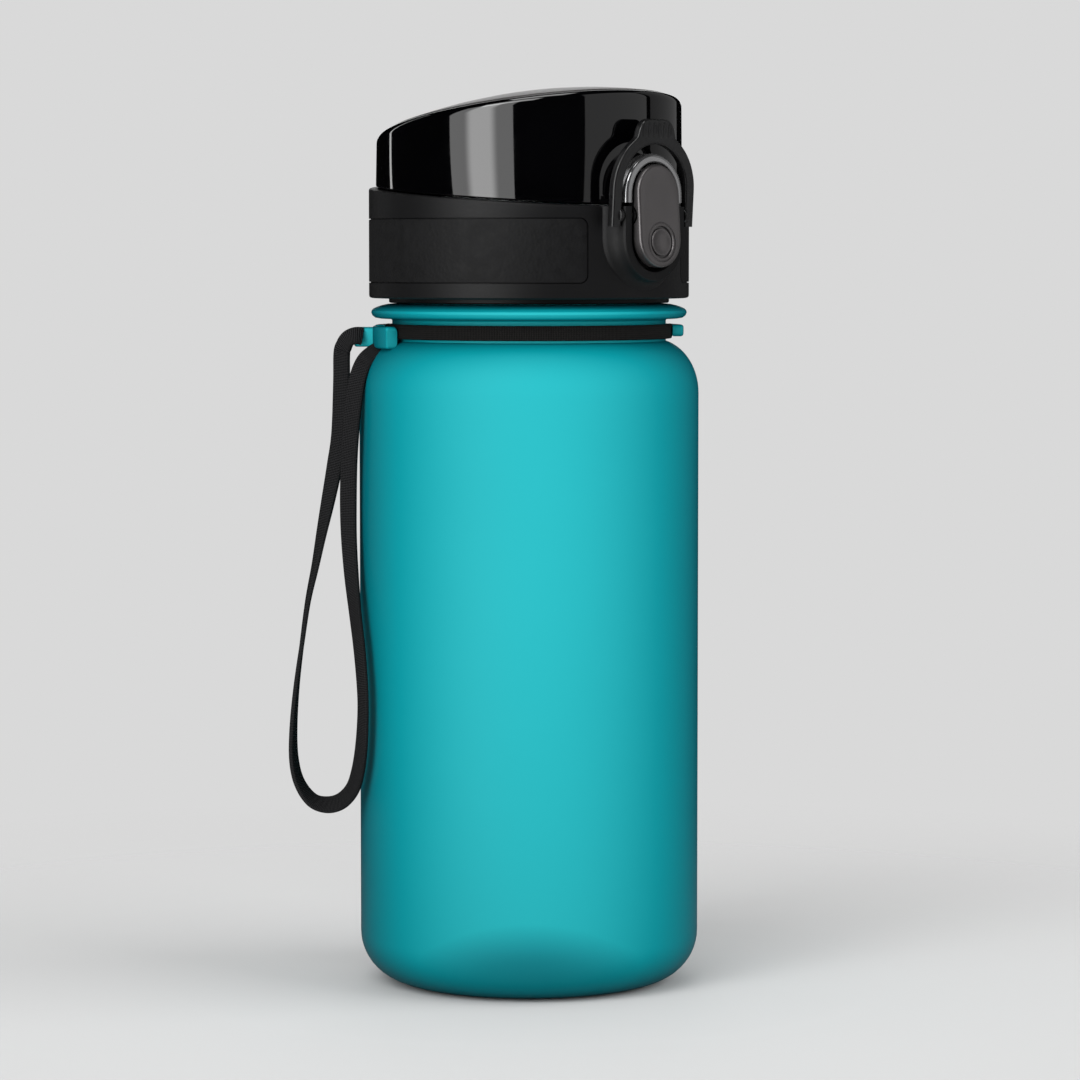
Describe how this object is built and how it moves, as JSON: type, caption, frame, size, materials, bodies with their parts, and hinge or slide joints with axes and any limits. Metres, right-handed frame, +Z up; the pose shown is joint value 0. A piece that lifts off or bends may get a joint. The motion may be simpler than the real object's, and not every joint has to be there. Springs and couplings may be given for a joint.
{
  "type": "kids water bottle",
  "caption": "Small translucent bottle with a screw-on flip lid, push button, swinging lock bail and webbing carry loop.",
  "frame": {"origin": "centre of the foot, on the surface the bottle stands on", "axes": "+Z up along the bottle's axis, -Y towards the button, +Y towards the lid's hinge"},
  "size_m": [0.0696, 0.0691, 0.1709],
  "materials": {
    "bottle": "frosted translucent teal",
    "matte_black": "fine matte",
    "grip_black": "fine grain",
    "gloss_black": "piano gloss",
    "satin_black": "satin",
    "button_metal": "satin dark metallic",
    "steel": "bright",
    "silicone": "soft translucent white",
    "spout_plastic": "smooth translucent white",
    "webbing": "woven polyester"
  },
  "bodies": {
    "bottle": {"bottle_body": "bottle", "neck_band": "webbing", "strap_loop": "webbing"},
    "gasket": {"neck_gasket": "silicone"},
    "lid": {"collar_shell": "matte_black", "grip_band": "grip_black", "lid_core": "matte_black", "spout_gasket": "silicone", "spout": "spout_plastic", "hinge_pin": "steel", "cap_spring": "steel", "button_bezel": "gloss_black", "pivot_pin": "steel", "button_spring": "steel"},
    "cap": {"cap_shell": "gloss_black", "cap_top": "satin_black", "cap_liner": "matte_black", "cap_seal": "silicone"},
    "button": {"button_face": "button_metal", "latch_lever": "matte_black"},
    "bail": {"lock_bail": "matte_black"}
  },
  "joints": [
    {"name": "lid_rise", "type": "slide", "parent": "bottle", "child": "gasket", "axis": [0, 0, 1], "range_m": [0, 0.005]},
    {"name": "lid_turn", "type": "hinge", "parent": "gasket", "child": "lid", "pos_m": [0, 0, 0.14], "axis": [0, 0, 1], "range_deg": [0, 450]},
    {"name": "cap_hinge", "type": "hinge", "parent": "lid", "child": "cap", "pos_m": [0, 0.0315, 0.155], "axis": [-1, 0, 0], "range_deg": [0, 115], "deforming": ["cap_spring"]},
    {"name": "button_rock", "type": "hinge", "parent": "lid", "child": "button", "pos_m": [0, -0.032, 0.1468], "axis": [1, 0, 0], "range_deg": [0, 6], "stiffness_Nm_per_rad": 0.15, "deforming": ["button_spring"]},
    {"name": "bail_swing", "type": "hinge", "parent": "lid", "child": "bail", "pos_m": [0, -0.032, 0.1468], "axis": [1, 0, 0], "range_deg": [0, 172]}
  ],
  "couplings": [
    {"joint": "lid_rise", "follows": "lid_turn", "m_per_rad": 0.00063662}
  ]
}
